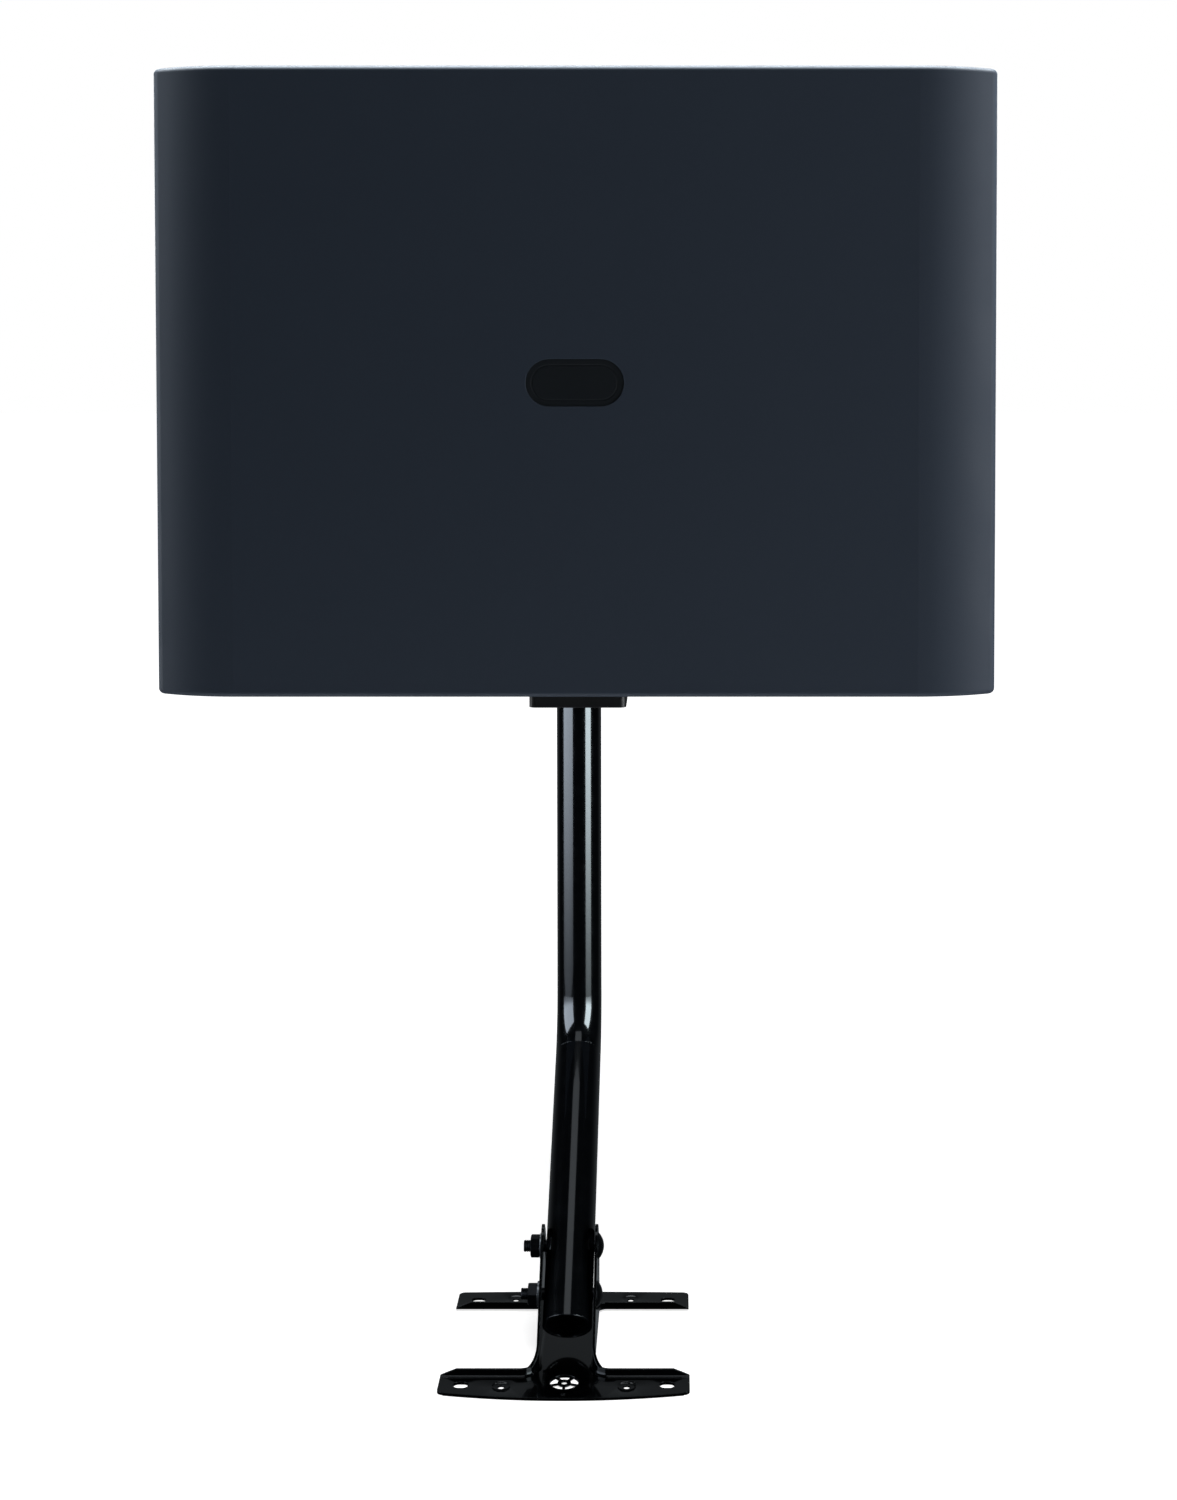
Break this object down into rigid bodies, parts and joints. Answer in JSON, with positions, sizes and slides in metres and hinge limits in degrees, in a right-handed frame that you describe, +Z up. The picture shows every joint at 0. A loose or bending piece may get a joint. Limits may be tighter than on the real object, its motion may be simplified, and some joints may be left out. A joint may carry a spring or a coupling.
{
  "type": "flat panel outdoor television antenna on bent mast",
  "caption": "Shallow rounded housing with a compact yagi-type array inside, clamped to a bent tube mast that tilts in a two-eared pressed-steel foot.",
  "frame": {"origin": "middle of the foot's flat underside, at the plane of the mounting surface", "axes": "+Z up, along the upper mast; -Y the way the housing's face looks; +X to the right of someone who faces the housing"},
  "size_m": [0.466, 0.2278, 0.6692],
  "materials": {
    "black_gloss_paint": "gloss black powder coat",
    "black_zinc": "satin black plating",
    "zinc_steel": "bright zinc plate",
    "housing_plastic": "fine satin moulded texture, slate",
    "badge_plastic": "smooth satin",
    "black_plastic": "moulded satin",
    "natural_nylon": "moulded natural nylon",
    "black_rubber": "moulded rubber",
    "aluminium": "mill finish",
    "copper": "bright copper",
    "circuit_board": "solder mask",
    "brass": "machined"
  },
  "bodies": {
    "foot": {"foot_bracket": "black_gloss_paint", "pivot_bolt": "black_zinc"},
    "pivot_washer": {"pivot_washer": "zinc_steel"},
    "pivot_nut": {"pivot_nut": "black_zinc"},
    "mast": {"mast_tube": "black_gloss_paint", "mast_top_plug": "black_plastic", "lock_bolt": "black_zinc"},
    "lock_washer": {"lock_washer": "zinc_steel"},
    "lock_nut": {"lock_nut": "black_zinc"},
    "sleeve": {"adaptor_sleeve": "natural_nylon"},
    "head": {"mast_socket": "black_plastic", "backing_plate": "zinc_steel", "socket_screws": "zinc_steel", "front_shell": "housing_plastic", "rear_cover": "housing_plastic", "cover_gasket": "black_rubber", "cover_screws": "zinc_steel", "front_badge": "badge_plastic", "drain_plugs": "black_rubber", "reflector_panel": "aluminium", "reflector_screws": "zinc_steel", "element_booms": "natural_nylon", "boom_screws": "zinc_steel", "director_strips": "aluminium", "upper_folded_dipole": "aluminium", "lower_folded_dipole": "aluminium", "phasing_lines": "copper", "feed_leads": "copper", "vhf_insulator": "black_plastic", "vhf_rods": "aluminium", "loading_coils": "copper", "insulator_posts": "natural_nylon", "balun_board": "circuit_board", "shield_can": "zinc_steel", "board_standoffs": "brass", "board_screws": "zinc_steel", "jumper_coax": "black_rubber", "coax_connector": "brass", "connector_nut": "zinc_steel", "connector_seal": "black_rubber"},
    "clamp_pad": {"clamp_pad": "brass"},
    "clamp_screw": {"clamp_screw": "zinc_steel"}
  },
  "joints": [
    {"name": "mast_tilt", "type": "hinge", "parent": "foot", "child": "mast", "pos_m": [0, -0.0023, 0.027], "axis": [-1, 0, 0], "range_deg": [-12, 30]},
    {"name": "pivot_washer_slide", "type": "slide", "parent": "foot", "child": "pivot_washer", "axis": [-1, 0, 0], "range_m": [0, 0.002]},
    {"name": "pivot_nut_spin", "type": "hinge", "parent": "pivot_washer", "child": "pivot_nut", "pos_m": [-0.018, -0.0023, 0.027], "axis": [-1, 0, 0], "range_deg": [0, 734]},
    {"name": "lock_washer_slide", "type": "slide", "parent": "mast", "child": "lock_washer", "axis": [-1, 0, 0], "range_m": [0, 0.002]},
    {"name": "lock_nut_spin", "type": "hinge", "parent": "lock_washer", "child": "lock_nut", "pos_m": [-0.018, 0.01791, 0.04336], "axis": [-1, 0, 0], "range_deg": [0, 734]},
    {"name": "head_height", "type": "slide", "parent": "mast", "child": "sleeve", "axis": [0, 0, 1], "range_m": [-0.02, 0.04]},
    {"name": "head_azimuth", "type": "hinge", "parent": "sleeve", "child": "head", "pos_m": [0, 0.122, 0.33], "axis": [0, 0, 1], "continuous": true},
    {"name": "clamp_pad_slide", "type": "slide", "parent": "head", "child": "clamp_pad", "axis": [0, 1, 0], "range_m": [0, 0.0032]},
    {"name": "clamp_screw_spin", "type": "hinge", "parent": "clamp_pad", "child": "clamp_screw", "pos_m": [0, 0.142, 0.31835], "axis": [0, 1, 0], "range_deg": [0, 1469]}
  ],
  "couplings": [
    {"joint": "pivot_nut_spin", "follows": "pivot_washer_slide", "rad_per_m": 6283.2},
    {"joint": "lock_nut_spin", "follows": "lock_washer_slide", "rad_per_m": 6283.2},
    {"joint": "clamp_screw_spin", "follows": "clamp_pad_slide", "rad_per_m": 7854}
  ]
}
